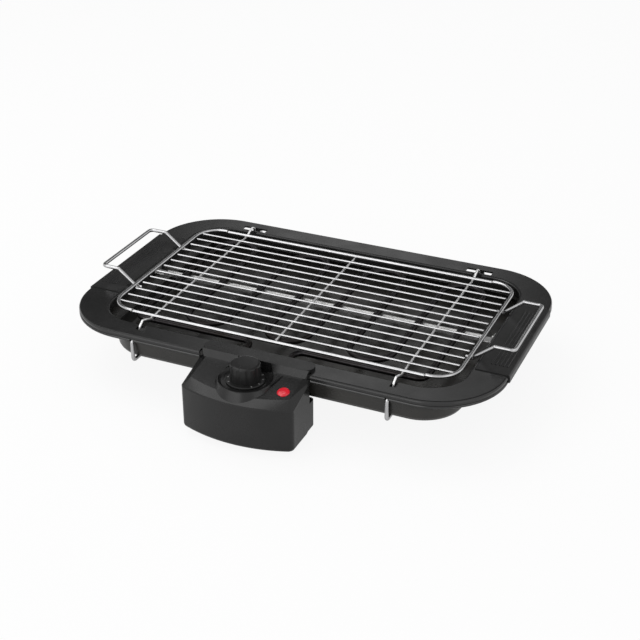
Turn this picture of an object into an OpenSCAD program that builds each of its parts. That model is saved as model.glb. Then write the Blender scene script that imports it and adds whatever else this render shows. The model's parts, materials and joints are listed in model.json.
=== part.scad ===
// Electric barbecue grill: a wire rack over a sheathed element, carried by a
// ring-shaped frame with a thermostat box at the front and a drip tray below.
// Right is +X, the back is +Y, and the feet stand on z = 0.

/* [Frame] */
// Length of the frame over its ends, without the grips
frame_w = 476; // [466:2:500]
// Depth of the frame from front to back
frame_d = 305; // [303:1:316]
// Radius of the frame's outer corners
frame_r = 75; // [60:1:75]
// Height of the frame's top face above the table
frame_top = 71.7; // [71:0.1:74]
// Height of the frame's outer lip
lip_h = 7.7; // [6.5:0.1:8.5]
// Length of the frame's opening
open_w = 400; // [394:2:406]
// Depth of the frame's opening
open_d = 252; // [246:1:254]
// Radius of the opening's corners
open_r = 40; // [34:1:46]
// Thickness of the frame's top wall
top_wall = 2; // [1.6:0.1:2.3]
// Thickness of the frame's lips
lip_wall = 2.5; // [1.6:0.1:2.8]
// Length of each hook slot in the back rail
slot_l = 30; // [22:1:36]
// Length of each hook hole in the front rail
front_slot_l = 5.5; // [5:0.5:8]
// Width of each hook slot
slot_w = 8.6; // [7.4:0.2:9]
// Width of the saddle block in each slot
saddle_w = 9; // [8:0.5:14]

/* [Grips] */
// Length of each end grip
grip_l = 149; // [120:1:152]
// How far a grip stands proud of the frame's end
grip_proud = 1.5; // [0.8:0.1:3]
// Depth of the recess that a grip sits in
grip_recess = 0.8; // [0.4:0.1:0.9]
// Number of ribs on each grip
grip_ribs = 5; // [2:1:6]

/* [Rack] */
// Distance between neighbouring rack bars
pitch = 15.5; // [14.5:0.1:16]
// Number of thin bars
bar_n = 13; // [9:2:13]
// Diameter of the thin bars and the cross wires
bar_d = 2.5; // [1.8:0.1:2.8]
// Diameter of the rods, end loops and handles
rod_d = 4; // [3:0.1:4.4]
// Length of the thin bars
bar_l = 379; // [350:1:381]
// Distance between the centres of the two end loops
loop_w = 386; // [385:1:388]
// Bend radius of the end loops
loop_r = 26; // [18:1:30]
// Distance between the centres of the front and back rods
rods_gap = 218.8; // [218:0.2:226]
// Distance from the middle to each hooked cross wire
hook_x = 141; // [120:1:143]
// Height of the bars' centres above the frame's top face
rack_rise = 2.3; // [2.2:0.1:4]
// Distance between the two legs of a handle
handle_l = 104; // [80:1:104]
// Reach of a handle's outer bar from the middle
handle_x = 236; // [226:1:240]
// Rise of a handle's outer bar above the rack bars
handle_rise = 14; // [11:0.5:30]

/* [Element] */
// Diameter of the sheathed heating tube
tube_d = 6.5; // [5.5:0.1:6.6]
// Distance between neighbouring runs of the tube
run_gap = 46.5; // [40:0.5:47]
// Back end of the straight runs
run_back = 80; // [60:1:90]
// Front end of the straight runs
run_front = 68; // [50:1:70]
// Distance of the front leads from the middle
lead_y = 105; // [104:0.5:108]
// Distance of each lead from the middle where it enters the box
lead_x = 25; // [24:0.5:27]
// Width of the support strip
strip_w = 10; // [8:0.5:14]
// Thickness of the support strip
strip_t = 0.8; // [0.6:0.1:0.9]

/* [Drip tray] */
// Length of the tray
tray_w = 388; // [370:1:392]
// Depth of the tray from front to back at its top edge
tray_d = 296.4; // [290:0.2:296.6]
// Height of the tray's walls
tray_h = 18.6; // [15:0.1:18.8]
// Inward taper of each wall
tray_taper = 3; // [1:0.5:6]
// Radius of the tray's corners
tray_r = 46; // [36:1:50]
// Wall thickness of the tray
tray_wall = 1.2; // [0.8:0.1:2]
// Width of the flange at each end of the tray
tray_flange = 22; // [19:0.5:24]
// How far the tray is pushed out to the right
tray_out = 11.5; // [0:0.1:14]

/* [Legs] */
// Diameter of the leg wires
leg_d = 4; // [3.4:0.1:4.2]
// Distance between the two upright legs of a wire
leg_span = 148; // [120:1:170]
// Length of each foot sleeve
sleeve_l = 26; // [16:1:34]

/* [Control box] */
// Width of the control box
box_w = 122; // [118:1:130]
// Distance from the middle of the rack to the box's front
box_reach = 205.4; // [204:0.2:212]
// Depth of the bow of the front face
box_bow = 12.4; // [9:0.2:14]
// Height of the box's underside above the table
box_low = 6.2; // [5:0.1:8]
// Height of the front face's top edge
box_front_top = 53.4; // [52.5:0.1:54]
// Wall thickness of the box
box_wall = 2.4; // [1.8:0.1:2.8]
// Distance from the middle of the rack to the knob's axis
knob_y = 170; // [168:0.5:171]
// Diameter of the knob
knob_d = 30.6; // [24:0.2:32]
// Height of the knob above its skirt
knob_h = 18; // [14:0.5:24]
// Number of flutes on the knob
knob_flutes = 10; // [8:1:12]
// Diameter of the dial skirt
skirt_d = 39; // [35:0.5:41]
// Diameter of the collar's ridge
collar_d = 57; // [54:0.5:58]
// Diameter of the pilot lens
lens_d = 12.5; // [9:0.1:14]

/* [Hidden] */
e = 0.01;                 // overshoot of cuts
fit = 0.05;               // gap between pieces that are fastened together
weld = 0.03;              // gap between welded wires
run_fit = 0.3;            // gap between pieces that move past each other
frame_half_d = frame_d / 2;
frame_half_w = frame_w / 2;
// the model is centred front to back, from the box's front to the frame's back
y_shift = (box_reach - frame_half_d) / 2;
lip_low = frame_top - lip_h;
wall_low = frame_top - top_wall;
saddle_low = 62.1;
saddle_top = frame_top - 4;
inner_low = 62;           // lowest level of anything fixed above the tray
slot_y = 134.5;
rack_z = frame_top + rack_rise;
bar_r = bar_d / 2;
rod_r = rod_d / 2;
loop_z = rack_z + 0.8;
rod_y = rods_gap / 2;
cross_z = rack_z - bar_d - weld;
dip_z = rack_z - rod_r - bar_r - weld;
tube_r = tube_d / 2;
tube_z = wall_low - tube_r - 0.2;
pin_z = tube_z - 0.8;
strip_top = tube_z - tube_r - fit;
leg_r = leg_d / 2;
tray_top = inner_low - run_fit;
tray_low = tray_top - tray_h;
cradle_z = tray_low - run_fit - leg_r;
leg_y = max(tray_d / 2 + run_fit + leg_r, frame_half_d - leg_r);
hook_z = saddle_low + leg_r + 0.8;
foot_z = leg_r + 2;
panel_slope = 0.2;
panel_z0 = 68.1;          // panel height where it meets the flange wall
flange_y = 149;           // front of the flange's upright wall
flange_back = 131.5;
face_run = 3.7;           // reach of the sloping face in front of the flange
flange_top = frame_top + 3.1;
lead_end = flange_y - box_wall - run_fit;
pin_d = 2.2;
pin_x = lead_x + 1.2;
rear_y = 153;             // back of the box above the tuck
seam_y = 158;             // seam between housing and rear cover
tuck_y = 141;
tuck_top = tray_low - 2.7;
tuck_low = box_low + 4.4;
box_half = box_w / 2;
bow_r = (box_half * box_half + box_bow * box_bow) / (2 * box_bow);
bow_y = -box_reach + bow_r;
corner_r = 7;
shell_low = tuck_low;
skirt_z = 62.9;
dish_z = skirt_z - 0.6;
ridge_z = 65;
collar_r = collar_d / 2;
collar_base_r = collar_r + 4.7;
floor_t = 2.1;
stem_d = 6;
bush_d = 10;
box_screw_x = 50;
box_screw_ys = [164, 183];
boss_h = 11;
lens_x = 44;
lens_y = 176.5;
block_y = 157.5;
wire_z = 50;
gland_y = 168;
gland_z = 31;

// height of the sloped panel at a given distance in front of the middle
function panel_z(y) = panel_z0 - panel_slope * (y - flange_y);
// unit vector from one point to another, its left normal, and the turn between two
function dir2(a, b) = (b - a) / norm(b - a);
function left2(d) = [-d[1], d[0]];
function turn(a, b) = atan2(a[0] * b[1] - a[1] * b[0], a[0] * b[0] + a[1] * b[1]);

// moves a piece from the rack's centre to the model's own origin
module place() {
    translate([0, y_shift, 0]) children();
}

// copies a piece to the other end
module both_ends() {
    children();
    mirror([1, 0, 0]) children();
}

// copies a piece to the other side
module both_sides() {
    children();
    mirror([0, 1, 0]) children();
}

// straight rod between two points
module rod(a, b, d) {
    v = b - a;
    translate(a)
        rotate([0, acos(v[2] / norm(v)), atan2(v[1], v[0])])
            cylinder(h = norm(v), d = d, $fn = 24);
}

// wire through points in space, with a slightly thicker ball at each corner
module wire3(pts, d) {
    for (i = [0:len(pts) - 2]) {
        rod(pts[i], pts[i + 1], d);
    }
    for (i = [1:len(pts) - 2]) {
        translate(pts[i]) sphere(d = d + 0.3, $fn = 24);
    }
}

// flat wire through points in the XY plane, bent with radius r at each corner
module bent_wire(pts, d, r) {
    n = len(pts);
    dirs = [for (i = [0:n - 2]) dir2(pts[i], pts[i + 1])];
    phis = [for (i = [0:n - 1]) (i == 0 || i == n - 1) ? 0 : turn(dirs[i - 1], dirs[i])];
    cuts = [for (i = [0:n - 1]) r * tan(abs(phis[i]) / 2)];
    for (i = [0:n - 2]) {
        a = pts[i] + dirs[i] * cuts[i];
        b = pts[i + 1] - dirs[i] * cuts[i + 1];
        rod([a[0], a[1], 0], [b[0], b[1], 0], d);
    }
    for (i = [1:n - 2]) {
        s = sign(phis[i]);
        side = left2(dirs[i - 1]) * s;
        centre = pts[i] - dirs[i - 1] * cuts[i] + side * r;
        start = atan2(-side[1], -side[0]);
        translate([centre[0], centre[1], 0])
            rotate(s > 0 ? start : start + phis[i])
                rotate_extrude(angle = abs(phis[i]), $fn = 64)
                    translate([r, 0]) circle(d = d, $fn = 24);
    }
}

// puts an XY drawing into the plane across the grill, at a given X
module across(x) {
    translate([x, 0, 0]) rotate([90, 0, 90]) children();
}

// rounded rectangle
module rrect(w, d, r) {
    square([w - 2 * r, d], center = true);
    square([w, d - 2 * r], center = true);
    for (sx = [-1, 1], sy = [-1, 1]) {
        translate([sx * (w / 2 - r), sy * (d / 2 - r)]) circle(r, $fn = 96);
    }
}

// upright slab with a rounded rectangle as its outline
module slab(w, d, r, z0, z1) {
    translate([0, 0, z0]) linear_extrude(z1 - z0) rrect(w, d, r);
}

// slab whose edge follows a profile of [inset, height] points, lowest first
module edged_slab(w, d, r, prof) {
    low = prof[0][1];
    high = prof[len(prof) - 1][1];
    for (sx = [-1, 1], sy = [-1, 1]) {
        translate([sx * (w / 2 - r), sy * (d / 2 - r), 0])
            rotate_extrude($fn = 96)
                polygon(concat([[0, low]], [for (p = prof) [r - p[0], p[1]]], [[0, high]]));
    }
    rotate([90, 0, 90])
        linear_extrude(w - 2 * r, center = true)
            section(d / 2, prof);
    rotate([90, 0, 0])
        linear_extrude(d - 2 * r, center = true)
            section(w / 2, prof);
}

// full cross-section of an edged slab with a given half width
module section(half, prof) {
    n = len(prof);
    right = [for (p = prof) [half - p[0], p[1]]];
    left = [for (i = [0:n - 1]) [-(half - prof[n - 1 - i][0]), prof[n - 1 - i][1]]];
    polygon(concat(right, left));
}

// ---------------------------------------------------------------- frame

// outer edge of the frame: a lower bead, a groove, an upper bead and a round top edge
frame_edge = [
    [0.5, lip_low], [0, lip_low + 0.5], [0, lip_low + 1.5], [0.5, lip_low + 2.4],
    [1, lip_low + 2.7], [1, lip_low + 4.4], [0.2, lip_low + 4.9], [0.1, frame_top - 1.9],
    [0.5, frame_top - 0.9], [1.2, frame_top - 0.25], [2.4, frame_top]
];
// edge of the opening, flared at the top
open_edge = [
    [0, inner_low - 1], [0, frame_top - 2.6], [-0.35, frame_top - 1.4],
    [-1.2, frame_top - 0.5], [-2.4, frame_top - 0.05], [-2.4, frame_top + 1]
];
grip_in_x = open_w / 2 + 3;
grip_w = frame_half_w - grip_in_x;
grip_screw_x = grip_in_x + grip_w / 2 + 0.5;
grip_screw_y = 52;
boss_low = frame_top - 5.4;
strap_x = 36;
strap_y = 137;
flange_screw_x = 51;
flange_screw_y = 138;

module frame_ring() color([0.13, 0.13, 0.13]) place() {
    difference() {
        union() {
            difference() {
                union() {
                    edged_slab(frame_w, frame_d, frame_r, frame_edge);
                    slab(open_w + 2 * lip_wall, open_d + 2 * lip_wall, open_r + lip_wall,
                         inner_low, frame_top - 1);
                }
                // hollow between the two lips
                difference() {
                    slab(frame_w - 2 * lip_wall, frame_d - 2 * lip_wall, frame_r - lip_wall,
                         inner_low - 1, wall_low);
                    slab(open_w + 2 * lip_wall, open_d + 2 * lip_wall, open_r + lip_wall,
                         inner_low - 2, frame_top);
                }
            }
            // saddle blocks under the hook slots
            both_ends() both_sides()
                translate([hook_x - saddle_w / 2, slot_y - slot_w / 2 - 1, saddle_low])
                    cube([saddle_w, slot_w + 2, saddle_top - saddle_low]);
            both_ends() both_sides() {
                for (s = [-1, 1]) {
                    translate([hook_x - saddle_w / 2, slot_y + s * (slot_w / 2 + 0.5) - 0.5, saddle_top - e])
                        cube([saddle_w, 1, wall_low - saddle_top + 2 * e]);
                }
            }
            // bosses for the grips
            both_ends() both_sides()
                translate([grip_screw_x, grip_screw_y, boss_low])
                    cylinder(h = wall_low - boss_low + e, d = 11, $fn = 48);
            // bosses for the lead strap
            both_ends()
                translate([strap_x, -strap_y, strip_top + 3.6])
                    cylinder(h = wall_low - strip_top - 3.6 + e, d = 7, $fn = 48);
        }
        // opening
        edged_slab(open_w, open_d, open_r, open_edge);
        // hook slots in the back rail, and short hook holes in the front one
        both_ends() {
            for (cut = [[slot_y, slot_l], [-slot_y, front_slot_l]]) {
                translate([hook_x - cut[1] / 2, cut[0] - slot_w / 2, saddle_top])
                    cube([cut[1], slot_w, 10]);
            }
        }
        // notches in the opening's edge for the hooks
        both_ends() both_sides()
            translate([hook_x - 5.5, open_d / 2 - 1, frame_top - 1.8])
                cube([11, 3.2, 4]);
        // sockets for the leg wires
        both_ends() both_sides()
            translate([hook_x, frame_half_d + 1, hook_z])
                rotate([90, 0, 0])
                    cylinder(h = frame_half_d + 1 - slot_y - fit, d = leg_d + 2 * fit, $fn = 32);
        both_ends() both_sides()
            translate([hook_x - leg_r - fit, frame_half_d - lip_wall - e, lip_low - 1])
                cube([leg_d + 2 * fit, lip_wall + 1, hook_z - lip_low + 1]);
        // recesses for the grips
        both_ends()
            translate([grip_in_x, -grip_l / 2, frame_top - grip_recess])
                cube([60, grip_l, 5]);
        both_ends()
            translate([frame_half_w - grip_recess, -grip_l / 2, 0])
                cube([20, grip_l, 100]);
        both_ends() both_sides()
            translate([grip_screw_x, grip_screw_y, 0])
                cylinder(h = 100, d = 7.2, $fn = 48);
        // notches for the element's leads
        both_ends()
            translate([lead_x - tube_r - 0.3, -open_d / 2 - lip_wall - 1, inner_low - 1])
                cube([tube_d + 0.6, lip_wall + 2, wall_low - inner_low + 1]);
        // cut for the control box
        translate([-box_half - 0.3, -frame_half_d - 5, 0])
            cube([box_w + 0.6, frame_half_d + 5 - (flange_y - box_wall - 0.3), 100]);
        // screw holes
        both_ends()
            translate([strap_x, -strap_y, 0])
                cylinder(h = wall_low, d = 3, $fn = 24);
        both_ends()
            translate([flange_screw_x, -flange_screw_y, 0])
                cylinder(h = 100, d = 3.1, $fn = 24);
        both_ends()
            translate([0, 0, bracket_screw_z])
                rotate([0, 90, 0])
                    translate([0, strip_y, 0]) cylinder(h = 206, d = 2.5, $fn = 24);
    }
}

// ---------------------------------------------------------------- grips

grip_edge = frame_half_w + grip_proud;
grip_top = frame_top + 0.9;
grip_low = frame_top - grip_recess + fit;
skirt_x = frame_half_w - grip_recess + fit;

module grip() {
    difference() {
        union() {
            rotate([90, 0, 0])
                linear_extrude(grip_l - 2 * fit, center = true)
                    polygon([
                        [grip_in_x + fit, grip_low], [skirt_x, grip_low], [skirt_x, lip_low + 0.4],
                        [grip_edge - 0.4, lip_low + 0.4], [grip_edge, lip_low + 0.8],
                        [grip_edge, grip_top - 1.8], [grip_edge - 0.5, grip_top - 0.8],
                        [grip_edge - 1.5, grip_top], [grip_in_x + 1.2, grip_top],
                        [grip_in_x + fit, grip_top - 0.9]
                    ]);
            // ribs along the top
            for (i = [0:grip_ribs - 1]) {
                translate([grip_in_x + grip_w * (0.37 + 0.46 * i / (grip_ribs - 1)), 0, grip_top - 0.3])
                    rotate([90, 0, 0])
                        cylinder(h = grip_l - 30, d = 2, center = true, $fn = 32);
            }
            both_sides()
                translate([grip_screw_x, grip_screw_y, boss_low])
                    cylinder(h = grip_low - boss_low + e, d = 7, $fn = 48);
        }
        both_sides()
            translate([grip_screw_x, grip_screw_y, boss_low - 1])
                cylinder(h = 6, d = 3, $fn = 24);
    }
}

module left_grip() color([0.12, 0.12, 0.12]) place() mirror([1, 0, 0]) grip();
module right_grip() color([0.12, 0.12, 0.12]) place() grip();

// pan-head screw pointing up from z = 0, the underside of its head
module screw_up(head_d, head_h, shank_d, shank_l) {
    difference() {
        union() {
            translate([0, 0, -head_h]) cylinder(h = head_h, d = head_d, $fn = 32);
            cylinder(h = shank_l, d = shank_d, $fn = 24);
        }
        for (a = [0, 90]) {
            rotate(a) translate([-head_d / 4, -0.4, -head_h - e]) cube([head_d / 2, 0.8, head_h / 2]);
        }
    }
}

module grip_screws() color([0.7, 0.7, 0.68]) place()
    both_ends() both_sides()
        translate([grip_screw_x, grip_screw_y, boss_low - fit])
            screw_up(9.6, 1.8, 2.9, 4.6);

// ---------------------------------------------------------------- legs

// bent leg wire: hooked into the frame, down outside the tray, under it and down to the table
module leg_wire(x) {
    half = leg_span / 2;
    across(x)
        bent_wire([
            [-slot_y, hook_z], [-leg_y, hook_z], [-leg_y, cradle_z], [-half, cradle_z],
            [-half, foot_z], [half, foot_z], [half, cradle_z], [leg_y, cradle_z],
            [leg_y, hook_z], [slot_y, hook_z]
        ], leg_d, leg_r + 2.2);
}

module left_leg_wire() color([0.75, 0.75, 0.76]) place() leg_wire(-hook_x);
module right_leg_wire() color([0.75, 0.75, 0.76]) place() leg_wire(hook_x);

module foot_sleeves() color([0.1, 0.1, 0.1]) place()
    both_ends() both_sides()
        translate([hook_x, leg_span / 2 - 10, foot_z])
            rotate([90, 0, 0])
                difference() {
                    union() {
                        cylinder(h = sleeve_l, d = 2 * foot_z, $fn = 48);
                        translate([-foot_z, -foot_z, 0]) cube([2 * foot_z, foot_z, sleeve_l]);
                    }
                    translate([0, 0, -1]) cylinder(h = sleeve_l + 2, d = leg_d + 2 * fit, $fn = 32);
                }

// ---------------------------------------------------------------- element

run_xs = [for (i = [0:7]) (i - 3.5) * run_gap];
run_r = run_gap / 2;

// half ring of the tube, standing on the ends of two runs
module half_ring(x, y, back) {
    translate([x, y, 0])
        rotate(back ? 0 : 180)
            rotate_extrude(angle = 180, $fn = 96)
                translate([run_r, 0]) circle(d = tube_d, $fn = 32);
}

module heater_element() color([0.25, 0.25, 0.26]) place()
    translate([0, 0, tube_z]) {
        for (i = [1:6]) {
            translate([run_xs[i], run_back, 0])
                rotate([90, 0, 0]) cylinder(h = run_back + run_front, d = tube_d, $fn = 32);
        }
        for (i = [0, 2, 4, 6]) {
            half_ring((run_xs[i] + run_xs[i + 1]) / 2, run_back, true);
        }
        for (i = [1, 3, 5]) {
            half_ring((run_xs[i] + run_xs[i + 1]) / 2, -run_front, false);
        }
        // outermost runs, with the leads along the front
        both_ends()
            bent_wire([
                [run_xs[7], run_back], [run_xs[7], -lead_y], [lead_x, -lead_y],
                [lead_x, -lead_end]
            ], tube_d, 10);
    }

// thin pins that carry the current from the tube into the box
module cold_pins() color([0.72, 0.6, 0.3]) place()
    for (x = [-pin_x, pin_x]) {
        wire3([
            [x, -lead_end - fit, pin_z], [x, -lead_end - 1.3, pin_z],
            [x, -block_y, wire_z + 7.4], [x, -block_y, wire_z]
        ], pin_d);
    }

strip_y = 3;
strip_end = 198.6;

module support_strip() color([0.82, 0.82, 0.83]) place()
    difference() {
        union() {
            translate([-strip_end, strip_y - strip_w / 2, strip_top - strip_t])
                cube([2 * strip_end, strip_w, strip_t]);
            for (s = [-1, 1]) {
                translate([-strip_end + 10, strip_y + s * (strip_w / 2 - 0.4) - 0.4, strip_top - strip_t])
                    cube([2 * strip_end - 20, 0.8, strip_t + 1.6]);
            }
        }
        for (x = run_xs) {
            translate([x - tube_r - 0.6, strip_y - strip_w, strip_top])
                cube([tube_d + 1.2, 2 * strip_w, 5]);
        }
    }

bracket_screw_z = frame_top - 5;

// angle bracket: a ledge on the strip's end and a leg against the frame's inner wall
module strip_brackets() color([0.7, 0.7, 0.7]) place()
    both_ends()
        difference() {
            union() {
                translate([open_w / 2 - 9, strip_y - strip_w / 2 + 1.2, strip_top + fit])
                    cube([9 - fit, strip_w - 2.4, 1]);
                translate([open_w / 2 - 1 - fit, strip_y - 7, strip_top + fit])
                    cube([1, 14, frame_top - 2.8 - strip_top - fit]);
            }
            translate([open_w / 2 - 3, strip_y, bracket_screw_z])
                rotate([0, 90, 0]) cylinder(h = 10, d = 2.6, $fn = 24);
        }

module bracket_screws() color([0.7, 0.7, 0.68]) place()
    both_ends()
        translate([open_w / 2 - 1 - 2 * fit, strip_y, bracket_screw_z])
            rotate([0, 90, 0]) screw_up(4.6, 1.4, 2.4, 3);

// hat-shaped strap that holds both leads up against the frame
module lead_strap() color([0.7, 0.7, 0.7]) place()
    difference() {
        union() {
            translate([-30, -strap_y - 4, strip_top - 0.8]) cube([60, 8, 0.8]);
            both_ends() translate([29.1, -strap_y - 4, strip_top - 0.8]) cube([0.9, 8, 4.3]);
            both_ends() translate([29.1, -strap_y - 4, strip_top + 2.7]) cube([10.9, 8, 0.8]);
        }
        both_ends()
            translate([strap_x, -strap_y, strip_top]) cylinder(h = 8, d = 3.1, $fn = 24);
    }

module strap_screws() color([0.7, 0.7, 0.68]) place()
    both_ends()
        translate([strap_x, -strap_y, strip_top + 2.65]) screw_up(5.6, 1.6, 2.9, 4);

// ---------------------------------------------------------------- control box

// outline of the box with its bowed front, set in by a given amount, back edge at y
module box_outline(inset, back) {
    half = box_half - inset;
    big = bow_r - inset;
    r = corner_r - inset;
    cx = half - r;
    cy = bow_y - sqrt((big - r) * (big - r) - cx * cx);
    tx = cx * big / (big - r);
    ty = bow_y - (bow_y - cy) * big / (big - r);
    intersection() {
        translate([0, bow_y]) circle(big, $fn = 360);
        translate([-tx, -box_reach - 5]) square([2 * tx, ty + box_reach + 6]);
    }
    for (s = [-1, 1]) {
        translate([s * cx, cy]) circle(r, $fn = 64);
    }
    translate([-half, cy]) square([2 * half, -back - cy]);
    polygon([[-cx, cy + 1], [cx, cy + 1], [cx, cy], [tx, ty], [-tx, ty], [-cx, cy]]);
}

// outline of the sloped panel, whose front edge runs along the bow
module panel_outline(inset) {
    intersection() {
        translate([0, bow_y]) circle(bow_r - 11 - inset, $fn = 180);
        translate([-53.5 + inset, -box_reach]) square([107 - 2 * inset, box_reach - flange_y]);
    }
}

// solid under the sloped top, set in by a given amount
module box_top(inset) {
    hull() {
        translate([0, 0, 50]) linear_extrude(box_front_top - 50 - inset) box_outline(inset, flange_y + 1);
        translate([0, 0, 50]) linear_extrude(box_front_top - 48.9 - inset) box_outline(inset + 1.2, flange_y + 1);
        intersection() {
            translate([0, 0, 50]) linear_extrude(30) panel_outline(inset);
            rotate([90, 0, 90])
                linear_extrude(200, center = true)
                    polygon([
                        [-box_reach, 40], [-box_reach, panel_z(box_reach) - inset * 1.05],
                        [-flange_y, panel_z(flange_y) - inset * 1.05], [-flange_y, 40]
                    ]);
        }
        both_ends()
            translate([box_half - inset - 0.5, 0, 0])
                rotate([90, 0, 90])
                    linear_extrude(0.5)
                        polygon([
                            [-190, 50], [-190, box_front_top - inset],
                            [-flange_y, panel_z0 - 3 - inset], [-flange_y, 50]
                        ]);
    }
}

// collar round the knob: a bowl whose front stands above the panel on a sloping skirt
module collar_solid() {
    translate([0, -knob_y, 0]) {
        rotate_extrude($fn = 128)
            polygon([
                [0, dish_z - floor_t], [24.5, dish_z - floor_t], [collar_r + 0.3, dish_z + 0.2],
                [collar_r + 0.3, ridge_z - 0.6], [collar_r - 0.2, ridge_z], [0, ridge_z]
            ]);
        intersection() {
            rotate_extrude($fn = 128)
                polygon([
                    [24, dish_z - floor_t], [collar_r - 2, dish_z - floor_t],
                    [collar_base_r - 2.6, box_front_top - 0.6], [collar_base_r, box_front_top - 0.6],
                    [collar_base_r - 0.5, box_front_top + 2], [collar_r + 0.3, ridge_z - 0.6],
                    [collar_r - 0.2, ridge_z], [24, ridge_z]
                ]);
            translate([-100, -100, 0]) cube([200, 100, 100]);
        }
        // fin where the ridge runs out over the panel on the right
        intersection() {
            linear_extrude(100)
                polygon([
                    [collar_r - 8, -14], [collar_r - 1, -7], [collar_r + 2.6, 4], [collar_r + 5.2, 14.6],
                    [collar_r + 4.6, 14.8], [collar_r + 1, 5], [collar_r - 3, -1]
                ]);
            rotate([90, 0, 90])
                linear_extrude(100)
                    polygon([[-16, 56], [-16, ridge_z], [-4, ridge_z], [15, ridge_z + 2.4], [15, 56]]);
        }
    }
}

module dish_cut() {
    translate([0, -knob_y, 0])
        rotate_extrude($fn = 128)
            polygon([
                [0, dish_z], [21.5, dish_z], [24.5, dish_z + 0.6], [collar_r - 2.2, ridge_z - 1],
                [collar_r - 1.2, ridge_z + e], [collar_r - 1.2, 80], [0, 80]
            ]);
}

module box_housing() color([0.14, 0.14, 0.14]) place()
    difference() {
        union() {
            difference() {
                union() {
                    translate([0, 0, shell_low])
                        linear_extrude(tuck_top - shell_low) box_outline(0, seam_y);
                    translate([0, 0, tuck_top - e])
                        linear_extrude(52 - tuck_top + 2 * e) box_outline(0, rear_y);
                    difference() {
                        box_top(0);
                        translate([-100, -rear_y, 0]) cube([200, 50, inner_low + 0.2]);
                    }
                }
                translate([0, 0, shell_low - 1])
                    linear_extrude(tuck_top - shell_low + 1) box_outline(box_wall, 0);
                translate([0, 0, tuck_top - 1])
                    linear_extrude(53 - tuck_top + 1) box_outline(box_wall, rear_y + box_wall);
                intersection() {
                    box_top(box_wall);
                    translate([-100, -300, 0]) cube([200, 300 - rear_y - box_wall, 100]);
                }
                // room for the collar's bowl
                translate([0, -knob_y, 50]) cylinder(h = 30, r = collar_r - 1, $fn = 128);
            }
            // bosses that take the bottom screws
            box_screw_places() {
                cylinder(h = boss_h, d = 7, $fn = 32);
            }
            for (s = [-1, 1], y = box_screw_ys) {
                translate([s * (box_screw_x + box_half - 1) / 2 - (box_half - 1 - box_screw_x) / 2, -y - 1, shell_low])
                    cube([box_half - 1 - box_screw_x, 2, boss_h]);
            }
            // sill under the flange's front corners
            translate([-box_half + 0.5, -flange_y - 0.5, panel_z0 - box_wall - 3.4])
                cube([box_w - 1, box_wall + 0.5, box_wall + 0.2]);
            // upright wall and flange over the frame's front rail
            intersection() {
                translate([-box_half + 0.5, -flange_y, panel_z0 - box_wall - 1.4])
                    cube([box_w - 1, box_wall, flange_top - panel_z0 + box_wall + 1.4]);
                linear_extrude(100)
                    translate([0, -flange_y / 2 - flange_back / 2])
                        rrect(box_w - 1, flange_y - flange_back, 8);
            }
            // sloping face from the panel up to the flange
            intersection() {
                rotate([90, 0, 90])
                    linear_extrude(box_w - 1, center = true)
                        polygon([
                            [-flange_y - face_run, panel_z(flange_y + face_run) - 1],
                            [-flange_y - face_run, panel_z(flange_y + face_run)],
                            [-flange_y - 0.6, flange_top], [-flange_y + 0.5, flange_top],
                            [-flange_y + 0.5, panel_z0 - 2]
                        ]);
                linear_extrude(100)
                    translate([0, -flange_y / 2 - flange_back / 2 - face_run / 2])
                        rrect(box_w - 1, flange_y + face_run - flange_back, 8 + face_run);
            }
            translate([0, 0, frame_top + fit])
                linear_extrude(flange_top - frame_top - fit)
                    difference() {
                        translate([0, -flange_y / 2 - flange_back / 2])
                            rrect(box_w - 1, flange_y - flange_back, 8);
                        translate([-100, -flange_y - 5]) square([200, 5 + box_wall / 2]);
                    }
            // bowl of the collar
            difference() {
                collar_solid();
                translate([-100, -rear_y, 0]) cube([200, 100, inner_low + 0.2]);
                translate([-100, -flange_y + box_wall / 2, 0]) cube([200, 100, 100]);
            }
        }
        intersection() {
            dish_cut();
            translate([-100, -300, 0]) cube([200, 300 - flange_y - 0.5, 100]);
        }
        // hole for the thermostat's bush
        translate([0, -knob_y, 50]) cylinder(h = 20, d = bush_d + 2 * fit, $fn = 48);
        // hole for the pilot lens
        lens_place() translate([0, 0, -10]) cylinder(h = 20, d = lens_d - 1, $fn = 48);
        // ways for the cold pins
        both_ends()
            translate([pin_x - 1.7, -rear_y - box_wall - 0.1, pin_z - 9])
                cube([3.4, rear_y + box_wall + 2 - lead_end, 10.4]);
        // holes for the bottom screws
        box_screw_places()
            translate([0, 0, -1]) cylinder(h = boss_h, d = 3, $fn = 24);
        // hole for the cord gland
        translate([-box_half - 5, -gland_y, gland_z])
            rotate([0, 90, 0]) cylinder(h = 12, d = 10 + 2 * fit, $fn = 48);
        // holes for the flange screws
        both_ends()
            translate([flange_screw_x, -flange_screw_y, frame_top - 1])
                cylinder(h = 3.4, d = 2.6, $fn = 24);
    }

// frame of the pilot lens: on the panel, tilted with it
module lens_place() {
    translate([lens_x, -lens_y, panel_z(lens_y)])
        rotate([atan(panel_slope), 0, 0]) children();
}

module box_bottom_cover() color([0.14, 0.14, 0.14]) place()
    difference() {
        hull() {
            translate([0, 0, shell_low - fit - 0.4]) linear_extrude(0.4) box_outline(0, seam_y);
            translate([0, 0, shell_low - 2.4]) linear_extrude(0.4) box_outline(0.7, seam_y);
            translate([0, 0, box_low + 0.6]) linear_extrude(0.4) box_outline(2.6, seam_y + 1.4);
            translate([0, 0, box_low]) linear_extrude(0.4) box_outline(4.2, seam_y + 2.6);
        }
        translate([0, 0, box_low + 2.8]) linear_extrude(10) box_outline(6.6, seam_y + 3);
        box_screw_places()
            translate([0, 0, -20]) cylinder(h = 40, d = 3.4, $fn = 24);
        box_screw_places()
            translate([0, 0, -10]) cylinder(h = 10 + box_low + 1.6 + fit - shell_low, d = 6.6, $fn = 32);
    }

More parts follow.
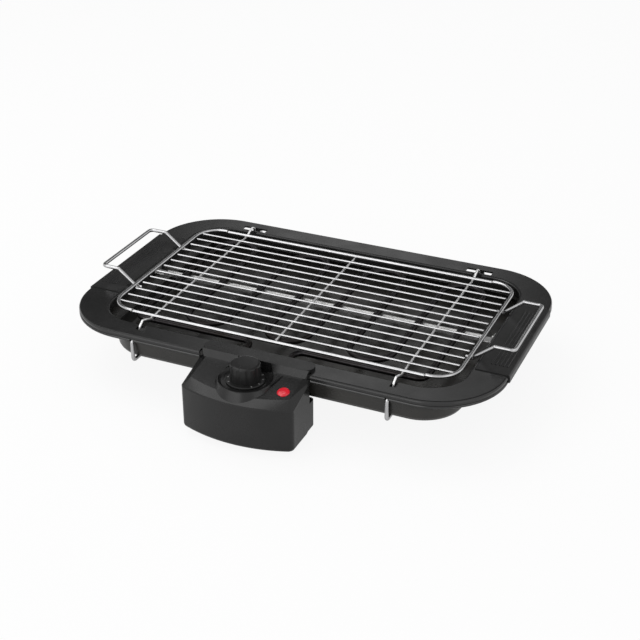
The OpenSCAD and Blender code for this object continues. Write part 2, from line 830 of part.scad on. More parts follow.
// the four places of the bottom cover's screws, at the seam's height
module box_screw_places() {
    for (x = [-box_screw_x, box_screw_x], y = box_screw_ys) {
        translate([x, -y, shell_low]) children();
    }
}

module box_screws() color([0.6, 0.6, 0.6]) place()
    box_screw_places()
        translate([0, 0, box_low + 1.6 - shell_low])
            screw_up(6, 1.2, 2.9, 11);

// hollow piece behind the housing that tucks in under the tray
module box_rear_cover() color([0.14, 0.14, 0.14]) place()
    difference() {
        translate([-box_half, -seam_y + fit, tuck_low])
            rear_block(box_w, seam_y - tuck_y - fit, tuck_top - tuck_low - fit);
        translate([-box_half + box_wall, -seam_y - 1, tuck_low + box_wall])
            cube([box_w - 2 * box_wall, seam_y - tuck_y + 1 - box_wall,
                  tuck_top - tuck_low - 2 * box_wall]);
    }

// block with its back corners and lower edge rounded
module rear_block(w, d, h) {
    intersection() {
        linear_extrude(h)
            union() {
                square([w, d - 4]);
                translate([4, 0]) square([w - 8, d]);
                for (x = [4, w - 4]) {
                    translate([x, d - 4]) circle(4, $fn = 48);
                }
            }
        rotate([90, 0, 90])
            linear_extrude(w)
                union() {
                    square([d - 5, h]);
                    translate([0, 5]) square([d, h - 5]);
                    translate([d - 5, 5]) circle(5, $fn = 48);
                }
    }
}

module flange_screws() color([0.7, 0.7, 0.68]) place()
    both_ends()
        translate([flange_screw_x, -flange_screw_y, wall_low - fit])
            screw_up(6, 1.8, 2.5, 4.4);

// ---------------------------------------------------------------- thermostat

body_top = dish_z - floor_t - fit;
body_low = 43;

module thermostat_body() color([0.85, 0.83, 0.78]) place()
    translate([0, -knob_y, 0])
        difference() {
            union() {
                translate([-14, -12, body_low]) cube([28, 24, body_top - body_low]);
                translate([0, 0, body_top - 1]) cylinder(h = dish_z - body_top + 0.8, d = bush_d, $fn = 48);
            }
            translate([0, 0, body_top - 12]) cylinder(h = 20, d = stem_d + 2 * fit, $fn = 48);
        }

module thermostat_contacts() color([0.75, 0.62, 0.3]) place()
    for (x = [-9, 9]) {
        translate([x - 2.5, -knob_y - 0.4, body_low - 9.05]) cube([5, 0.8, 9]);
    }

stem_top = skirt_z + knob_h - 4;

module thermostat_spindle() color([0.75, 0.75, 0.72]) place()
    translate([0, -knob_y, body_top - 11])
        difference() {
            cylinder(h = stem_top - body_top + 11, d = stem_d, $fn = 48);
            translate([-5, 1.6, stem_top - body_top + 11 - 12]) cube([10, 5, 13]);
        }

// ---------------------------------------------------------------- knob

skirt_t = 1.5;

module control_knob() color([0.11, 0.11, 0.11]) place()
    translate([0, -knob_y, skirt_z + skirt_t + fit])
        difference() {
            intersection() {
                linear_extrude(knob_h)
                    difference() {
                        circle(d = knob_d, $fn = 128);
                        for (i = [0:knob_flutes - 1]) {
                            rotate(360 / knob_flutes * (i + 0.5))
                                translate([knob_d / 2 + 3.9, 0]) circle(4.7, $fn = 48);
                        }
                    }
                rotate_extrude($fn = 128)
                    polygon([
                        [0, 0], [knob_d / 2 + 1, 0], [knob_d / 2 + 0.2, knob_h - 2.4],
                        [knob_d / 2 - 0.9, knob_h - 1], [knob_d / 2 - 2.6, knob_h - 0.4],
                        [knob_d / 2 - 8, knob_h - 0.1], [0, knob_h]
                    ]);
            }
            difference() {
                translate([0, 0, -1])
                    cylinder(h = stem_top - skirt_z - skirt_t + 1, d = stem_d + 2 * fit, $fn = 48);
                translate([-5, 1.6 + fit, stem_top - skirt_z - skirt_t - 12]) cube([10, 5, 20]);
            }
        }

module dial_skirt() color([0.1, 0.1, 0.1]) place()
    translate([0, -knob_y, skirt_z])
        difference() {
            rotate_extrude($fn = 128)
                polygon([
                    [0, 0], [skirt_d / 2, 0], [skirt_d / 2, skirt_t - 0.7],
                    [skirt_d / 2 - 0.7, skirt_t], [0, skirt_t]
                ]);
            translate([0, 0, -1]) cylinder(h = 5, d = stem_d + 2 * fit, $fn = 48);
        }

// short marks round the skirt, over three quarters of the turn
module dial_marks() color([0.8, 0.8, 0.8]) place()
    translate([0, -knob_y, skirt_z + skirt_t])
        for (a = [0:30:270]) {
            rotate(a - 45) translate([skirt_d / 2 - 2.9, -0.35, 0]) cube([1.8, 0.7, 0.15]);
        }

// ---------------------------------------------------------------- pilot light

module pilot_lens() color([0.85, 0.1, 0.12]) place()
    lens_place() {
        translate([0, 0, fit])
            rotate_extrude($fn = 64)
                polygon([
                    [0, 0], [lens_d / 2, 0], [lens_d / 2, 0.5], [lens_d / 2 - 0.5, 1.1],
                    [lens_d / 2 - 2, 1.6], [lens_d / 2 - 4, 1.8], [0, 1.9]
                ]);
        translate([0, 0, -5.5]) cylinder(h = 5.6, d = lens_d - 1.2, $fn = 48);
    }

module pilot_lamp() color([0.9, 0.6, 0.5]) place()
    lens_place() translate([0, 0, -16.5]) cylinder(h = 10.9, d = 6, $fn = 32);

// ---------------------------------------------------------------- wiring

module terminal_blocks() color([0.85, 0.84, 0.8]) place()
    both_ends()
        difference() {
            translate([pin_x - 6, -block_y - 5.5, wire_z - 5]) cube([12, 7.5, 11]);
            translate([pin_x, -block_y, wire_z - 0.2]) cylinder(h = 20, d = pin_d + 2 * fit, $fn = 24);
        }

fuse_y0 = -block_y - 9;
fuse_l = 12;

module thermal_fuse() color([0.7, 0.7, 0.72]) place()
    translate([-pin_x, fuse_y0, wire_z - 2])
        rotate([90, 0, 0]) cylinder(h = fuse_l, d = 4.5, $fn = 32);

// insulated leads inside the box
module inner_wires() color([0.8, 0.75, 0.65]) place() {
    z = wire_z - 2;
    face = -block_y - 5.5 - fit;
    wire3([[pin_x, face, z], [pin_x, -knob_y - 6, z], [14 + fit, -knob_y - 6, z]], 2);
    wire3([[-pin_x, face, z], [-pin_x, fuse_y0 + fit, z]], 2);
    wire3([
        [-pin_x, fuse_y0 - fuse_l - fit, z], [-pin_x, fuse_y0 - fuse_l - 3, z],
        [-pin_x - 3, fuse_y0 - fuse_l - 4, z - 8], [-46, -gland_y - 2, gland_z + 1],
        [-box_half + 8 + fit, -gland_y - 2, gland_z]
    ], 2);
    wire3([
        [-14 - fit, -knob_y + 6, z - 2], [-17, -knob_y + 6, z - 2], [-20, -knob_y + 6, z - 8],
        [-44, -gland_y + 2, gland_z + 3],
        [-box_half + 8 + fit, -gland_y + 2, gland_z]
    ], 2);
    wire3([
        [lens_x, -lens_y - 4.6, 45.2], [lens_x, -lens_y - 4.6, 40], [pin_x + 4, -block_y - 4, 40],
        [pin_x, -block_y - 3, 42.5], [pin_x, -block_y - 3, wire_z - 5 - fit]
    ], 2);
}

// gland in the side wall where the mains cord enters
module cord_gland() color([0.1, 0.1, 0.1]) place()
    translate([-box_half, -gland_y, gland_z])
        rotate([0, 90, 0])
            difference() {
                union() {
                    translate([0, 0, -5]) cylinder(h = 5 - fit, d = 14, $fn = 48);
                    translate([0, 0, -1]) cylinder(h = box_wall + 3, d = 10, $fn = 48);
                    translate([0, 0, box_wall + fit]) cylinder(h = 8 - box_wall - fit, d = 13, $fn = 48);
                }
                translate([0, 0, -6]) cylinder(h = 20, d = 6.4, $fn = 48);
            }

// ---------------------------------------------------------------- tray

tray_edge = [
    [tray_taper + 3.2, tray_low], [tray_taper + 1.4, tray_low + 0.6],
    [tray_taper + 0.4, tray_low + 2], [tray_taper * 0.8, tray_low + 4],
    [0.8, tray_top - 1.6], [0, tray_top - 1.2], [0, tray_top]
];
tray_inner = [
    [tray_taper + tray_wall + 3.2, tray_low + tray_wall],
    [tray_taper + tray_wall + 1.2, tray_low + tray_wall + 0.8],
    [tray_taper * 0.8 + tray_wall, tray_low + 4.6],
    [0.8 + tray_wall, tray_top - 2], [0.8 + tray_wall, tray_top + 1]
];

module drip_tray() color([0.09, 0.09, 0.09]) place()
    translate([tray_out, 0, 0])
        difference() {
            union() {
                edged_slab(tray_w, tray_d, tray_r, tray_edge);
                translate([0, 0, tray_top - tray_wall])
                    linear_extrude(tray_wall)
                        rrect(tray_w + 2 * tray_flange, tray_d, tray_r + 18);
            }
            edged_slab(tray_w, tray_d, tray_r, tray_inner);
        }

// ---------------------------------------------------------------- rack

module rack_end_loops() color([0.82, 0.82, 0.84]) place()
    translate([0, 0, loop_z])
        both_ends()
            bent_wire([
                [rod_end + weld, -rod_y], [loop_w / 2, -rod_y], [loop_w / 2, rod_y],
                [rod_end + weld, rod_y]
            ], rod_d, loop_r);

rod_end = loop_w / 2 - loop_r - 2;

// rod along X with round ends
module round_rod(half, d) {
    translate([-half + d / 2, 0, 0]) rotate([0, 90, 0]) cylinder(h = 2 * half - d, d = d, $fn = 24);
    for (s = [-1, 1]) {
        translate([s * (half - d / 2), 0, 0]) sphere(d = d, $fn = 24);
    }
}

module rack_outer_rods() color([0.82, 0.82, 0.84]) place()
    for (s = [-1, 1]) {
        translate([0, s * rod_y, rack_z]) round_rod(rod_end, rod_d);
    }

module rack_bars() color([0.82, 0.82, 0.84]) place()
    for (i = [0:bar_n - 1]) {
        translate([0, (i - (bar_n - 1) / 2) * pitch, rack_z]) round_rod(bar_l / 2, bar_d);
    }

tip_z = saddle_top + 0.25;
crest_z = frame_top + 5;
cross_end = rod_y - sqrt(pow(rod_r + bar_r + weld, 2) - pow(rack_z - cross_z, 2)) + bar_r;

module rack_cross_wires() color([0.82, 0.82, 0.84]) place() {
    translate([0, 0, cross_z]) rotate(90) round_rod(cross_end, bar_d);
    both_ends() {
        across(hook_x)
            bent_wire([
                [-slot_y, tip_z], [-slot_y + 0.8, frame_top + 1.2], [-slot_y + 7, crest_z],
                [-slot_y + 13.5, rack_z + 0.6], [-rod_y - 3, dip_z], [-rod_y + 4.5, dip_z],
                [-rod_y + 10.5, cross_z], [rod_y - 10.5, cross_z], [rod_y - 4.5, dip_z],
                [rod_y + 3, dip_z], [slot_y - 13.5, rack_z + 0.6], [slot_y - 7, crest_z],
                [slot_y - 0.8, frame_top + 1.2], [slot_y, tip_z]
            ], bar_d, 2);
    }
}

leg_in = loop_w / 2 - 6;
handle_low = loop_z - rod_d - weld;
handle_top = rack_z + handle_rise;

// handle: two legs rising from under the end loop to an outer bar
module handle() {
    half = handle_l / 2;
    joint_x = loop_w / 2 + 26;
    for (y = [-half, half]) {
        wire3([
            [leg_in, y, handle_low], [loop_w / 2 + 1.5, y, handle_low],
            [loop_w / 2 + 23, y, handle_top], [joint_x, y, handle_top]
        ], rod_d);
    }
    translate([0, 0, handle_top])
        bent_wire([
            [joint_x, -half], [handle_x, -half], [handle_x, half], [joint_x, half]
        ], rod_d, 5);
}

module left_handle() color([0.82, 0.82, 0.84]) place() mirror([1, 0, 0]) handle();
module right_handle() color([0.82, 0.82, 0.84]) place() handle();

frame_ring();
left_grip();
right_grip();
grip_screws();
left_leg_wire();
right_leg_wire();
foot_sleeves();
heater_element();
cold_pins();
support_strip();
strip_brackets();
bracket_screws();
lead_strap();
strap_screws();
box_housing();
box_bottom_cover();
box_rear_cover();
box_screws();
flange_screws();
thermostat_body();
thermostat_contacts();
thermostat_spindle();
terminal_blocks();
thermal_fuse();
inner_wires();
cord_gland();
control_knob();
dial_skirt();
dial_marks();
pilot_lens();
pilot_lamp();
drip_tray();
rack_end_loops();
rack_outer_rods();
rack_bars();
rack_cross_wires();
left_handle();
right_handle();
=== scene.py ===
import json
import math

import bmesh
import bpy
from mathutils import Matrix, Vector


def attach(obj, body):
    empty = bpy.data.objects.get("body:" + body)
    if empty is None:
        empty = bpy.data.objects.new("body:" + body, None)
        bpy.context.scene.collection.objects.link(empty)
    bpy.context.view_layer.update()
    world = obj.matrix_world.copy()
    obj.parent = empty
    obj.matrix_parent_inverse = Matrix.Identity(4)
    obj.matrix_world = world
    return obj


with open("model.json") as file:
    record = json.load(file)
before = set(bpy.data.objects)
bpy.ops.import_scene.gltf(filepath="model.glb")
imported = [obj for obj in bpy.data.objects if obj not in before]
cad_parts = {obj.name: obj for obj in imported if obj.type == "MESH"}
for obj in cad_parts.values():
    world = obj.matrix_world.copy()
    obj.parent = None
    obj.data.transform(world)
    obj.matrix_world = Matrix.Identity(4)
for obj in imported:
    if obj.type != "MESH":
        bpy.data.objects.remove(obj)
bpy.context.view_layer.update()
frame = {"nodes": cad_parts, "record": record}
nodes = frame["nodes"]
scene = bpy.context.scene
scene.view_settings.view_transform = "Standard"

# ---------------------------------------------------------------- the studio's settings

# Places and sizes here are in metres, and the camera's lens and sensor in millimetres
CAMERA_PLACE = (0.5091, -1.11155, 0.7207)
CAMERA_TARGET = (0.0253, -0.02085, 0.074)
CAMERA_LENS = 73.0
SENSOR_WIDTH = 36.0

# Strength of the world for plain light, and where the camera or clear glass sees it
WORLD_LIGHT = 0.75
WORLD_SEEN = 1.0
# Only reflections see the flag and the card. Each has the way to its middle, as seen from the
# grill, and an edge: its cosines from that way, where it ends and where it is at full strength.
FLAG_WAY = (-0.36, 0.7, 0.62)
FLAG_EDGE = (0.62, 0.87)
FLAG_GREY = 0.08
CARD_WAY = (-0.336, 0.812, 0.477)
CARD_EDGE = (0.987, 0.9975)

# Share of its own plain white that the floor shows to each kind of ray
FLOOR_SHARES = (("Is Camera Ray", 0.9), ("Is Transmission Ray", 0.9), ("Is Glossy Ray", 0.45))
FLOOR_SIZE = 12.0

# Each lamp's place, size and power in watts. All of them face the same point of the grill.
LAMP_TARGET = (0.0, 0.0, 0.05)
LAMPS = {
    "soft_front": ((-0.55, -1.9, 0.95), (1.8, 1.2), 12.0),
    "soft_top": ((-0.72, 0.05, 1.5), (1.2, 1.0), 7.5),
    "soft_right": ((1.6, -0.7, 0.8), (1.0, 1.0), 2.5),
}

# ---------------------------------------------------------------- the grill's own sizes, in millimetres

MM = 0.001
# The sizes below are centred on the rack, which lies this far behind the model's origin
RACK_Y = 26.45
# Height of the bars' middle line over the table, their pitch, and how many lie each side of the middle one
RACK_Z = 74.0
PITCH = 15.5
BARS_EACH_SIDE = 6
# The cross wires that end in hooks
HOOK_X = 141.0
# The outer rods: their distance from the middle, and where they end
ROD_Y = 109.4
ROD_END = 165.0
# The end loops, and where the handles meet them
LOOP_X = 193.0
HANDLE_JOINT_Y = 52.0
# The knob's axis in front of the rack's centre, and the height of its top
KNOB_Y = 170.0
KNOB_TOP = 82.45

# How far each kind of weld lies below the rack's level, and its radii along X, Y and Z
BAR_WELD_DROP = 1.27
BAR_WELD = (1.45, 1.45, 0.8)
ROD_WELD_DROP = 2.02
ROD_WELD = (1.7, 1.9, 0.95)
HANDLE_WELD_DROP = 1.2
HANDLE_WELD = (2.1, 2.1, 1.1)
# The bead round the joint of an outer rod and a loop: its rise over the rack's level, which is half of the
# loop's, and the radii of its ring and of its section
BEAD_RISE = 0.4
BEAD_RADIUS = 1.75
BEAD_THICK = 0.5

# The knob's pointer is a row of overlapping drops that starts this far in front of the knob's axis
POINTER_START = 7.5
POINTER_DROPS = 9
POINTER_STEP = 0.68
POINTER_SLOPE = 0.05
POINTER_SINK = 0.22
POINTER_DROP = (0.75, 0.95, 0.62)


def add_camera():
    """The photograph's view: a long lens from the front right, about 28 degrees up."""
    data = bpy.data.cameras.new("view_camera")
    data.lens = CAMERA_LENS
    data.sensor_width = SENSOR_WIDTH
    data.clip_start = 0.05
    data.clip_end = 30.0
    camera = bpy.data.objects.new("view_camera", data)
    scene.collection.objects.link(camera)
    camera.location = CAMERA_PLACE
    direction = Vector(CAMERA_TARGET) - camera.location
    camera.rotation_euler = direction.to_track_quat("-Z", "Y").to_euler()
    scene.camera = camera


add_camera()

# ---------------------------------------------------------------- materials

# Noise keeps mostly to this middle part of 0 to 1, so looks run from one end of it to the other
FIELD_LOW = 0.3
FIELD_HIGH = 0.7


class Shader:
    """A small helper that builds one procedural material around a Principled BSDF."""

    def __init__(self, name):
        self.material = bpy.data.materials.new(name)
        self.material.use_nodes = True
        self.tree = self.material.node_tree
        self.tree.nodes.clear()
        self.out = self.tree.nodes.new("ShaderNodeOutputMaterial")
        self.bsdf = self.tree.nodes.new("ShaderNodeBsdfPrincipled")
        self.link(self.bsdf.outputs["BSDF"], self.out.inputs["Surface"])
        self.place = self.tree.nodes.new("ShaderNodeTexCoord").outputs["Object"]

    def link(self, a, b):
        self.tree.links.new(a, b)

    def set(self, **values):
        """Sets sockets of the BSDF by name, with an underscore for each space."""
        for name, value in values.items():
            self.bsdf.inputs[name.replace("_", " ")].default_value = value
        return self

    def noise(self, scale, detail=3.0, rough=0.5, stretch=None):
        """A noise field, 0 to 1, with scale in cells a metre."""
        node = self.tree.nodes.new("ShaderNodeTexNoise")
        node.inputs["Scale"].default_value = scale
        node.inputs["Detail"].default_value = detail
        node.inputs["Roughness"].default_value = rough
        source = self.place
        if stretch:
            mapping = self.tree.nodes.new("ShaderNodeMapping")
            mapping.inputs["Scale"].default_value = stretch
            self.link(source, mapping.inputs["Vector"])
            source = mapping.outputs["Vector"]
        self.link(source, node.inputs["Vector"])
        return node.outputs["Fac"]

    def cells(self, scale):
        """Small rounded cells, for a moulded or cast grain."""
        node = self.tree.nodes.new("ShaderNodeTexVoronoi")
        node.feature = "SMOOTH_F1"
        node.inputs["Scale"].default_value = scale
        self.link(self.place, node.inputs["Vector"])
        return node.outputs["Distance"]

    def ramp(self, field, low, high, start, end):
        """Colour that runs from low to high as the field runs from start to end."""
        node = self.tree.nodes.new("ShaderNodeValToRGB")
        node.color_ramp.elements[0].position = start
        node.color_ramp.elements[1].position = end
        node.color_ramp.elements[0].color = (*low, 1.0)
        node.color_ramp.elements[1].color = (*high, 1.0)
        self.link(field, node.inputs["Fac"])
        return node.outputs["Color"]

    def span(self, field, low, high):
        """A number that runs from low to high with the field."""
        node = self.tree.nodes.new("ShaderNodeMapRange")
        node.inputs["From Min"].default_value = FIELD_LOW
        node.inputs["From Max"].default_value = FIELD_HIGH
        node.inputs["To Min"].default_value = low
        node.inputs["To Max"].default_value = high
        self.link(field, node.inputs["Value"])
        return node.outputs["Result"]

    def colour(self, field, low, high, start=FIELD_LOW, end=FIELD_HIGH):
        self.link(self.ramp(field, low, high, start, end), self.bsdf.inputs["Base Color"])
        return self

    def rough(self, field, low, high):
        self.link(self.span(field, low, high), self.bsdf.inputs["Roughness"])
        return self

    def bump(self, *layers):
        """Layers of (field, height in metres), summed by chained bump nodes."""
        normal = None
        for field, height in layers:
            node = self.tree.nodes.new("ShaderNodeBump")
            node.inputs["Strength"].default_value = 1.0
            node.inputs["Distance"].default_value = height
            self.link(field, node.inputs["Height"])
            if normal is not None:
                self.link(normal, node.inputs["Normal"])
            normal = node.outputs["Normal"]
        self.link(normal, self.bsdf.inputs["Normal"])
        return self


def grey(value):
    """A neutral colour."""
    return (value, value, value)


def moulded(name, low, high, rough, grain, height, level):
    """Black moulded plastic: a fine grain, faint flow marks, and patches that are a little shinier.

    The grain is in cells a metre, its height in metres, and level is the BSDF's specular level.
    """
    s = Shader(name).set(Specular_IOR_Level=level)
    patches = s.noise(38.0, 4.0)
    s.colour(s.noise(26.0, 5.0, 0.6), low, high)
    s.rough(patches, rough[0], rough[1])
    s.bump((s.cells(grain), height), (s.noise(160.0, 2.0), height * 0.6))
    return s.material


def bright_wire(name, low, high, rough):
    """Bright plate on drawn wire: a little ripple, faint haze and slow changes of tone."""
    s = Shader(name).set(Metallic=1.0)
    s.colour(s.noise(55.0, 4.0, 0.6), low, high)
    s.rough(s.noise(120.0, 4.0), rough[0], rough[1])
    s.bump((s.noise(300.0, 2.0), 0.00002))
    return s.material


def plain_metal(name, low, high, rough, stretch=(1.0, 1.0, 1.0)):
    """Rolled or turned metal with a fine grain, which a stretch draws into lines along one way."""
    s = Shader(name).set(Metallic=1.0)
    lines = s.noise(900.0, 3.0, 0.6, stretch)
    s.colour(s.noise(60.0, 4.0, 0.6), low, high)
    s.rough(lines, rough[0], rough[1])
    s.bump((lines, 0.00001))
    return s.material


def tinted_sheath():
    """The element's steel sheath, which heat has tinted from dark brown to blue-grey in patches."""
    s = Shader("element_sheath").set(Metallic=1.0)
    s.colour(s.noise(30.0, 5.0, 0.65), (0.02, 0.017, 0.015), (0.045, 0.043, 0.046))
    s.rough(s.noise(200.0, 4.0), 0.32, 0.5)
    s.bump((s.noise(1400.0, 3.0), 0.00003))
    return s.material


def enamel():
    """Gloss black enamel, with the slight orange peel of a dipped coat."""
    s = Shader("tray_enamel").set(Specular_IOR_Level=0.4)
    s.colour(s.noise(11.0, 5.0, 0.62), (0.007, 0.007, 0.0066), (0.026, 0.0245, 0.0215), 0.35, 0.75)
    s.rough(s.noise(70.0, 4.0), 0.24, 0.38)
    s.bump((s.noise(180.0, 2.0), 0.00002))
    return s.material


def rubber():
    """Matt black rubber with a fine moulded grain."""
    s = Shader("foot_rubber")
    s.colour(s.noise(90.0, 5.0), (0.012, 0.012, 0.012), (0.022, 0.022, 0.022))
    s.rough(s.noise(400.0, 3.0), 0.55, 0.75)
    s.bump((s.cells(2200.0), 0.00006))
    return s.material


def ceramic():
    """Unglazed cream ceramic of the terminal blocks."""
    s = Shader("ceramic")
    s.colour(s.noise(120.0, 5.0), (0.62, 0.6, 0.54), (0.7, 0.68, 0.62))
    s.rough(s.noise(500.0, 3.0), 0.5, 0.7)
    s.bump((s.noise(2500.0, 3.0), 0.00005))
    return s.material


def sleeve():
    """Glass-fibre braid on the inner wires."""
    s = Shader("wire_sleeve")
    braid = s.noise(3200.0, 2.0, 0.5, (1.0, 0.35, 1.0))
    s.colour(braid, (0.42, 0.38, 0.3), (0.62, 0.58, 0.5))
    s.rough(braid, 0.75, 0.9)
    s.bump((braid, 0.0001))
    return s.material


def print_paint():
    """Grey print of the dial's marks."""
    s = Shader("mark_paint")
    s.colour(s.noise(1500.0, 3.0), (0.2, 0.2, 0.2), (0.3, 0.3, 0.3))
    s.rough(s.noise(900.0, 3.0), 0.4, 0.55)
    s.bump((s.noise(2500.0, 2.0), 0.00001))
    return s.material


def red_lens():
    """A clear red moulded lens over the pilot lamp."""
    s = Shader("lens_red").set(Transmission_Weight=0.15, IOR=1.49)
    s.colour(s.noise(260.0, 3.0), (0.62, 0.008, 0.022), (0.75, 0.014, 0.032))
    s.rough(s.noise(500.0, 2.0), 0.12, 0.22)
    s.bump((s.noise(700.0, 2.0), 0.000006))
    return s.material


def lamp_glass():
    """Thin orange-tinted glass of the pilot lamp."""
    s = Shader("lamp_glass").set(Transmission_Weight=0.8, IOR=1.45)
    s.colour(s.noise(200.0, 3.0), (0.85, 0.5, 0.36), (0.95, 0.66, 0.5))
    s.rough(s.noise(600.0, 2.0), 0.03, 0.1)
    s.bump((s.noise(900.0, 2.0), 0.00002))
    return s.material


materials = {
    "phenolic": moulded("phenolic", grey(0.009), grey(0.0135), (0.17, 0.25),
                        grain=1500.0, height=0.00002, level=0.47),
    "grip_plastic": moulded("grip_plastic", grey(0.0085), grey(0.0125), (0.34, 0.44),
                            grain=1700.0, height=0.00004, level=0.4),
    "box_plastic": moulded("box_plastic", grey(0.0075), grey(0.0115), (0.22, 0.3),
                           grain=2000.0, height=0.00002, level=0.32),
    "knob_plastic": moulded("knob_plastic", grey(0.011), grey(0.015), (0.26, 0.34),
                            grain=2400.0, height=0.00002, level=0.22),
    "chrome_wire": bright_wire("chrome_wire", (0.41, 0.41, 0.415), (0.52, 0.52, 0.525), (0.17, 0.29)),
    "satin_wire": bright_wire("satin_wire", (0.8, 0.8, 0.8), (0.9, 0.9, 0.9), (0.36, 0.48)),
    "screw_steel": plain_metal("screw_steel", (0.5, 0.5, 0.49), (0.62, 0.62, 0.6), (0.22, 0.38)),
    "strip_steel": plain_metal("strip_steel", (0.62, 0.62, 0.62), (0.74, 0.74, 0.73), (0.28, 0.44),
                               stretch=(0.02, 1.0, 1.0)),
    "pin_brass": plain_metal("pin_brass", (0.6, 0.44, 0.18), (0.72, 0.56, 0.28), (0.25, 0.4)),
    "fuse_metal": plain_metal("fuse_metal", (0.55, 0.55, 0.57), (0.68, 0.68, 0.7), (0.3, 0.45)),
    "weld_metal": plain_metal("weld_metal", (0.36, 0.355, 0.34), (0.5, 0.49, 0.47), (0.3, 0.45)),
    "element_sheath": tinted_sheath(),
    "tray_enamel": enamel(),
    "foot_rubber": rubber(),
    "ceramic": ceramic(),
    "wire_sleeve": sleeve(),
    "mark_paint": print_paint(),
    "lens_red": red_lens(),
    "lamp_glass": lamp_glass(),
}

# Finishes that differ from the record's slot: the cross wires are satin and paler than the bars
OWN_FINISH = {"rack_cross_wires": "satin_wire"}

for part in frame["record"]["subparts"]:
    node = nodes[part["node"]]
    finish = materials[OWN_FINISH.get(part["node"], part["material_slot"])]
    slots = node.data.materials
    for index in range(max(1, len(slots))):
        if index < len(slots):
            slots[index] = finish
        else:
            slots.append(finish)

# ---------------------------------------------------------------- small pieces that ride on the CAD bodies


def finish_piece(name, mesh, material, body):
    """Wraps a bmesh as one smooth-shaded piece that moves with a CAD body."""
    data = bpy.data.meshes.new(name)
    mesh.to_mesh(data)
    mesh.free()
    for face in data.polygons:
        face.use_smooth = True
    data.materials.append(material)
    piece = bpy.data.objects.new(name, data)
    scene.collection.objects.link(piece)
    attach(piece, body)


def blob(mesh, centre, radii):
    """A small ellipsoid. Its centre and radii are in millimetres, and the centre is told from the rack's."""
    x, y, z = centre
    place = Matrix.Translation((x * MM, (y + RACK_Y) * MM, z * MM))
    size = Matrix.Diagonal((radii[0] * MM, radii[1] * MM, radii[2] * MM, 1.0))
    bmesh.ops.create_uvsphere(mesh, u_segments=16, v_segments=10, radius=1.0, matrix=place @ size)


def bead(mesh, centre, radius, thick, turns=28, sides=8):
    """A ring of round section about the X axis, in millimetres told from the rack's centre."""
    rows = []
    for i in range(turns):
        a = 2 * math.pi * i / turns
        row = []
        for j in range(sides):
            b = 2 * math.pi * j / sides
            reach = radius + thick * math.cos(b)
            y, z = reach * math.cos(a), reach * math.sin(a)
            place = (centre[0] + thick * math.sin(b), centre[1] + y + RACK_Y, centre[2] + z)
            row.append(mesh.verts.new([c * MM for c in place]))
        rows.append(row)
    for i in range(turns):
        for j in range(sides):
            near, far = rows[i], rows[(i + 1) % turns]
            k = (j + 1) % sides
            mesh.faces.new((near[j], far[j], far[k], near[k]))
    bmesh.ops.recalc_face_normals(mesh, faces=mesh.faces[:])


def add_rack_welds():
    """Weld nuggets at the rack's crossings, and a bead where each rod butts against a loop."""
    mesh = bmesh.new()
    for x in (-HOOK_X, 0.0, HOOK_X):
        for i in range(-BARS_EACH_SIDE, BARS_EACH_SIDE + 1):
            blob(mesh, (x, i * PITCH, RACK_Z - BAR_WELD_DROP), BAR_WELD)
    for x in (-HOOK_X, HOOK_X):
        for y in (-ROD_Y, ROD_Y):
            blob(mesh, (x, y, RACK_Z - ROD_WELD_DROP), ROD_WELD)
    for x in (-LOOP_X, LOOP_X):
        for y in (-HANDLE_JOINT_Y, HANDLE_JOINT_Y):
            blob(mesh, (x, y, RACK_Z - HANDLE_WELD_DROP), HANDLE_WELD)
    for x in (-ROD_END, ROD_END):
        for y in (-ROD_Y, ROD_Y):
            bead(mesh, (x, y, RACK_Z + BEAD_RISE), BEAD_RADIUS, BEAD_THICK)
    finish_piece("rack_welds", mesh, materials["weld_metal"], "rack")


def add_knob_pointer():
    """A raised pointer at the front of the knob's top, with rounded ends."""
    mesh = bmesh.new()
    for i in range(POINTER_DROPS):
        y = -KNOB_Y - POINTER_START - i * POINTER_STEP
        blob(mesh, (0.0, y, KNOB_TOP - POINTER_SINK - i * POINTER_SLOPE), POINTER_DROP)
    finish_piece("knob_pointer", mesh, materials["knob_plastic"], "knob")


# ---------------------------------------------------------------- floor, world and lamps


def add_floor():
    """A pale floor that keeps a soft shadow and is nearly white to the camera and through glass.

    Reflections see half of that, which keeps the black plastic black.
    """
    s = Shader("floor_paint").set(Roughness=0.85, Specular_IOR_Level=0.2)
    s.colour(s.noise(3.0, 2.0), (0.78, 0.78, 0.78), (0.8, 0.8, 0.8))
    glow = s.tree.nodes.new("ShaderNodeEmission")
    glow.inputs["Strength"].default_value = 1.0
    light_path = s.tree.nodes.new("ShaderNodeLightPath")
    share = None
    for ray, amount in FLOOR_SHARES:
        part = s.tree.nodes.new("ShaderNodeMath")
        part.operation = "MULTIPLY"
        part.inputs[1].default_value = amount
        s.link(light_path.outputs[ray], part.inputs[0])
        if share:
            most = s.tree.nodes.new("ShaderNodeMath")
            most.operation = "MAXIMUM"
            s.link(share.outputs[0], most.inputs[0])
            s.link(part.outputs[0], most.inputs[1])
            part = most
        share = part
    mix = s.tree.nodes.new("ShaderNodeMixShader")
    s.link(share.outputs[0], mix.inputs["Fac"])
    s.link(s.bsdf.outputs["BSDF"], mix.inputs[1])
    s.link(glow.outputs["Emission"], mix.inputs[2])
    s.link(mix.outputs["Shader"], s.out.inputs["Surface"])
    bpy.ops.mesh.primitive_plane_add(size=FLOOR_SIZE, location=(0, 0, 0))
    floor = bpy.context.active_object
    floor.name = "studio_floor"
    floor.data.materials.append(s.material)


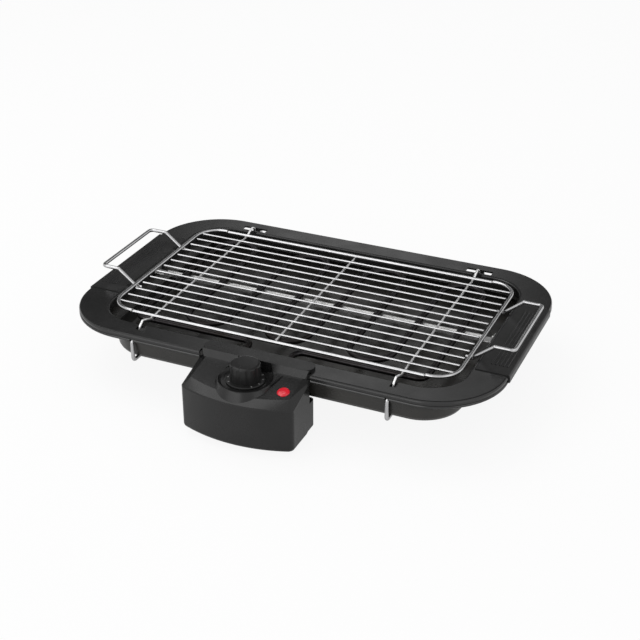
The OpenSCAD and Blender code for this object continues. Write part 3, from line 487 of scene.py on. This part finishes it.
def patch(tree, way, edge, outside, inside):
    """A round patch of the sky with a soft edge: its strength outside and inside."""
    sight = tree.nodes.new("ShaderNodeTexCoord")
    toward = tree.nodes.new("ShaderNodeVectorMath")
    toward.operation = "DOT_PRODUCT"
    toward.inputs[1].default_value = way
    tree.links.new(sight.outputs["Generated"], toward.inputs[0])
    spread = tree.nodes.new("ShaderNodeMapRange")
    spread.interpolation_type = "SMOOTHSTEP"
    spread.inputs["From Min"].default_value = edge[0]
    spread.inputs["From Max"].default_value = edge[1]
    spread.inputs["To Min"].default_value = outside
    spread.inputs["To Max"].default_value = inside
    tree.links.new(toward.outputs["Value"], spread.inputs["Value"])
    return spread.outputs["Result"]


def add_world():
    """White where it is seen or looked through, and a plain grey light elsewhere.

    Reflections alone see a dark flag high up at the back, with a small white card in front of it,
    and white all round. The black plastic and the steel wire mirror them.
    """
    world = bpy.data.worlds.new("studio_world")
    scene.world = world
    world.use_nodes = True
    tree = world.node_tree
    tree.nodes.clear()
    out = tree.nodes.new("ShaderNodeOutputWorld")
    light = tree.nodes.new("ShaderNodeBackground")
    light.inputs["Color"].default_value = (1.0, 1.0, 1.0, 1.0)
    light_path = tree.nodes.new("ShaderNodeLightPath")
    flag = patch(tree, FLAG_WAY, FLAG_EDGE, 1.0, FLAG_GREY)
    card = patch(tree, CARD_WAY, CARD_EDGE, 0.0, 1.0)
    studio = tree.nodes.new("ShaderNodeMath")
    studio.operation = "MAXIMUM"
    tree.links.new(flag, studio.inputs[0])
    tree.links.new(card, studio.inputs[1])
    seen = tree.nodes.new("ShaderNodeMath")
    seen.operation = "MAXIMUM"
    tree.links.new(light_path.outputs["Is Camera Ray"], seen.inputs[0])
    tree.links.new(light_path.outputs["Is Transmission Ray"], seen.inputs[1])
    plain = tree.nodes.new("ShaderNodeMapRange")
    plain.inputs["To Min"].default_value = WORLD_LIGHT
    plain.inputs["To Max"].default_value = WORLD_SEEN
    tree.links.new(seen.outputs[0], plain.inputs["Value"])
    mix = tree.nodes.new("ShaderNodeMix")
    mix.data_type = "FLOAT"
    tree.links.new(light_path.outputs["Is Glossy Ray"], mix.inputs[0])
    tree.links.new(plain.outputs["Result"], mix.inputs[2])
    tree.links.new(studio.outputs[0], mix.inputs[3])
    tree.links.new(mix.outputs[0], light.inputs["Strength"])
    tree.links.new(light.outputs["Background"], out.inputs["Surface"])


def add_lamp(name, place, size, power):
    """A soft rectangular lamp that faces the grill."""
    data = bpy.data.lights.new(name, "AREA")
    data.shape = "RECTANGLE"
    data.size, data.size_y = size
    data.energy = power
    lamp = bpy.data.objects.new(name, data)
    scene.collection.objects.link(lamp)
    lamp.location = place
    direction = Vector(LAMP_TARGET) - Vector(place)
    lamp.rotation_euler = direction.to_track_quat("-Z", "Y").to_euler()


add_rack_welds()
add_knob_pointer()
add_floor()
add_world()
for lamp_name, settings in LAMPS.items():
    add_lamp(lamp_name, *settings)
